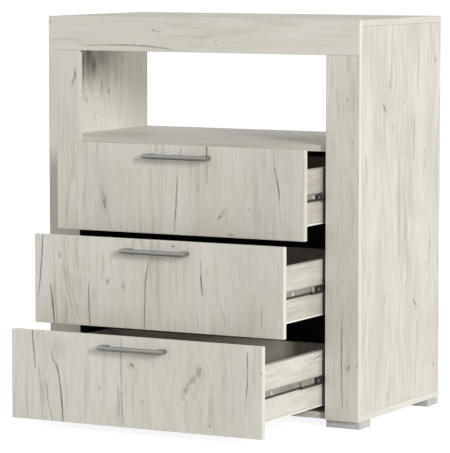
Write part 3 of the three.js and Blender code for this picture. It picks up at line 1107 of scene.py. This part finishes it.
def folded_rail(node, body, hand, profile, pads=(), windows=(), track=None, pad_finish=2):
    """A strip folded to the profile, drawn out along the drawer's way and pierced by windows.

    Pads of nylon fill short stretches of its web. Its lower ball track, and its folds along the
    windows, carry painted shade.
    """
    low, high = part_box(node)
    axis = (low.z + high.z) / 2
    side = 1 if hand == "right" else -1
    web_depth = min(across for across, up in profile) + SHEET / 4
    stops = sorted({low.y, high.y, *(end for stretch in [*pads, *windows] for end in stretch)})
    shape = bmesh.new()
    row = [
        shape.verts.new((side * (OPENING_SIDE - across), stops[0], axis + up))
        for across, up in profile
    ]
    line = [shape.edges.new(pair) for pair in zip(row, row[1:])]
    for start, end in zip(stops, stops[1:]):
        drawn = bmesh.ops.extrude_edge_only(shape, edges=line)["geom"]
        moved = [part for part in drawn if isinstance(part, bmesh.types.BMVert)]
        line = [part for part in drawn if isinstance(part, bmesh.types.BMEdge)]
        bmesh.ops.translate(shape, vec=(0, end - start, 0), verts=moved)
    pierced = []
    for face in shape.faces:
        middle = face.calc_center_median()
        in_web = abs(OPENING_SIDE - abs(middle.x)) < web_depth
        in_window = any(start < middle.y < end for start, end in windows)
        if in_web and in_window:
            pierced.append(face)
        elif track is not None and (in_window or middle.z < axis + track):
            face.material_index = 1
        elif in_web and any(start < middle.y < end for start, end in pads):
            face.material_index = pad_finish
    bmesh.ops.delete(shape, geom=pierced, context="FACES")
    piece = show(node + "_steel", shape, body, node, RAIL_FINISHES)
    wall = piece.modifiers.new("sheet", "SOLIDIFY")
    wall.thickness = SHEET
    wall.offset = 0.0
    wall.use_even_offset = True
    fold = piece.modifiers.new("folds", "BEVEL")
    fold.width = FOLD
    fold.segments = 2
    fold.limit_method = "ANGLE"


def stretches(start, *distances):
    """Short stretches at those distances behind a place."""
    half = PAD_LENGTH / 2
    return [(start + distance - half, start + distance + half) for distance in distances]


def cage_start(drawer):
    """Front end of a ball cage: before the frame, but behind the drawer front once closed."""
    low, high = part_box(f"{drawer}_drawer_front")
    closed_inner = FRAME_FRONT - FRONT_STAND_OFF + high.y - low.y
    runners_way = (closed_inner - high.y) / 2
    return max(FRAME_FRONT - CAGE_REACH, closed_inner - runners_way + CAGE_CLEARANCE)


def block(side, across, start, end, below, above):
    """Low and high corner of a block that lies across, from the partition, in a slide."""
    near, far = sorted(side * (OPENING_SIDE - reach) for reach in across)
    return Vector((near, start, below)), Vector((far, end, above))


def ball_cage(drawer, hand, axis, nose):
    """Dark plate of the ball cage with its rivet, and the moulded stop in the rail's nose."""
    side = 1 if hand == "right" else -1
    start = cage_start(drawer)
    end = FRAME_FRONT + CAGE_REACH
    below = axis - CAGE_HALF_HEIGHT
    above = axis + CAGE_HALF_HEIGHT
    shape = cuboid(*block(side, CAGE_ACROSS, start, end, below, above))
    round_edges(shape, shape.edges[:], FINE_EDGE)
    plate = set(shape.faces)
    outer = side * (OPENING_SIDE - CAGE_ACROSS[0])
    rivet = Vector((outer, FRAME_FRONT - RIVET_FROM_FRAME, axis))
    disc(shape, rivet, (side, 0, 0), RIVET_RADIUS, RIVET_HEIGHT, segments=20)
    for face in shape.faces:
        if face not in plate:
            face.material_index = 1
    made = set(shape.faces)
    corners = block(side, STOP_ACROSS, nose, nose + STOP_LENGTH, axis + TRACK_TOP, above)
    stop = add_cuboid(shape, *corners)
    rims = [edge for edge in shape.edges if all(vert in stop for vert in edge.verts)]
    round_edges(shape, rims, FINE_EDGE)
    for face in shape.faces:
        if face not in made:
            face.material_index = 2 if nose < start else 0
    name = f"{drawer}_slide_{hand}_ball_cage"
    show(name, shape, f"{drawer}_runners", None, CAGE_FINISHES)


for drawer in DRAWERS:
    runners = drawer + "_runners"
    inner_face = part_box(f"{drawer}_drawer_front")[1].y
    for hand in ("left", "right"):
        slide = f"{drawer}_slide_{hand}"
        low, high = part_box(slide + "_cabinet_rail")
        holes = stretches(low.y, *HOLE_PLACES)
        folded_rail(slide + "_cabinet_rail", "chest", hand, CABINET_PROFILE, windows=holes)
        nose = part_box(slide + "_middle_rail")[0].y
        window_start = max(nose + NOSE_RIM, FRAME_FRONT - WINDOW_REACH)
        plates = []
        if window_start - nose > NOSE_PLATE / 2:
            plate_start = max(nose + NOSE_RIM, window_start - NOSE_PLATE)
            plates.append((plate_start, window_start - NOSE_RIM / 2))
        if window_start - nose > NOSE_PAD_ROOM:
            plates += stretches(nose, NOSE_PAD_PLACE)
        folded_rail(
            slide + "_middle_rail", runners, hand, MIDDLE_PROFILE, pads=plates, pad_finish=3,
            windows=[(window_start, FRAME_FRONT + WINDOW_BEHIND)], track=TRACK_TOP,
        )
        folded_rail(
            slide + "_drawer_rail", drawer + "_drawer", hand, DRAWER_PROFILE,
            pads=stretches(inner_face, *PAD_PLACES), track=TRACK_TOP,
        )
        ball_cage(drawer, hand, (low.z + high.z) / 2, nose)

# Studio: a plain pale floor in an even white surround, a tall soft lamp before the chest on
# the right, and a softer one behind it on the right that shines through the open niche.

SURROUND = 0.52
FLOOR_WIDTH = 160.0
FLOOR_PAINT = 0.70
FLOOR_SEEN = 0.28
FLOOR_GLOW = 0.90
LAMP_DISTANCE = 14.0


def grey(level):
    return (level, level, level, 1.0)


world = bpy.data.worlds.new("surround")
bpy.context.scene.world = world
world.use_nodes = True
sky = world.node_tree
seen = add(sky, "LightPath").outputs
direct = maths("MAXIMUM", seen["Is Camera Ray"], seen["Is Glossy Ray"])
direct = maths("MAXIMUM", direct, seen["Is Transmission Ray"])
strength = maths("MULTIPLY_ADD", direct, 1.0 - SURROUND, SURROUND)
sky.links.new(strength, sky.nodes["Background"].inputs["Strength"])
sky.nodes["Background"].inputs["Color"].default_value = grey(1.0)

floor_shape = bmesh.new()
bmesh.ops.create_grid(floor_shape, x_segments=1, y_segments=1, size=FLOOR_WIDTH / 2)
floor_mesh = bpy.data.meshes.new("studio_floor")
floor_shape.to_mesh(floor_mesh)
floor_shape.free()
floor = in_scene("studio_floor", floor_mesh)
pale = bpy.data.materials.new("pale_floor")
pale.use_nodes = True
floor_tree = pale.node_tree
floor_tree.nodes.clear()
seen = add(floor_tree, "LightPath").outputs
paint = add(floor_tree, "BsdfDiffuse", {"Color": grey(FLOOR_PAINT)}).outputs[0]
shaded = add(floor_tree, "BsdfDiffuse", {"Color": grey(FLOOR_SEEN)}).outputs[0]
glow = add(floor_tree, "Emission", {"Color": grey(1.0), "Strength": FLOOR_GLOW}).outputs[0]
bright = add(floor_tree, "AddShader", {0: shaded, 1: glow}).outputs[0]
either = add(floor_tree, "MixShader", {0: seen["Is Camera Ray"], 1: paint, 2: bright}).outputs[0]
surface = floor_tree.nodes.new("ShaderNodeOutputMaterial")
floor_tree.links.new(either, surface.inputs["Surface"])
floor_mesh.materials.append(pale)


def lamp(name, azimuth, elevation, width, height, power):
    """A soft box round the chest: azimuth from its front towards its right side."""
    turn = math.radians(azimuth)
    rise = math.radians(elevation)
    way = Vector((
        math.sin(turn) * math.cos(rise), -math.cos(turn) * math.cos(rise), math.sin(rise),
    ))
    light = bpy.data.lights.new(name, "AREA")
    light.shape = "RECTANGLE"
    light.size = width
    light.size_y = height
    light.energy = power
    holder = in_scene(name, light)
    holder.location = (cad_box[0] + cad_box[1]) / 2 + way * LAMP_DISTANCE
    holder.rotation_mode = "QUATERNION"
    holder.rotation_quaternion = (-way).to_track_quat("-Z", "Y")
    holder.visible_glossy = False


lamp("key", azimuth=55.0, elevation=16.0, width=1.75, height=3.85, power=1122.0)
lamp("behind", azimuth=128.0, elevation=21.0, width=2.8, height=2.8, power=310.0)

# Camera: a little above the top, turned to show the right side.
# Its long lens keeps the upright edges nearly parallel.

CAMERA_PLACE = (3.5513, -6.5011, 1.2152)
CAMERA_TURN = 28.3716
CAMERA_TILT = 5.6191
CAMERA_LENS = 229.957
CAMERA_SENSOR = 36.0
CAMERA_FAR = 500.0

view = bpy.data.cameras.new("camera")
view.lens = CAMERA_LENS
view.sensor_width = CAMERA_SENSOR
view.clip_end = CAMERA_FAR
camera = in_scene("camera", view)
camera.location = CAMERA_PLACE
camera.rotation_euler = (math.radians(90.0 - CAMERA_TILT), 0.0, math.radians(CAMERA_TURN))
bpy.context.scene.camera = camera
bpy.context.scene.view_settings.view_transform = "Standard"
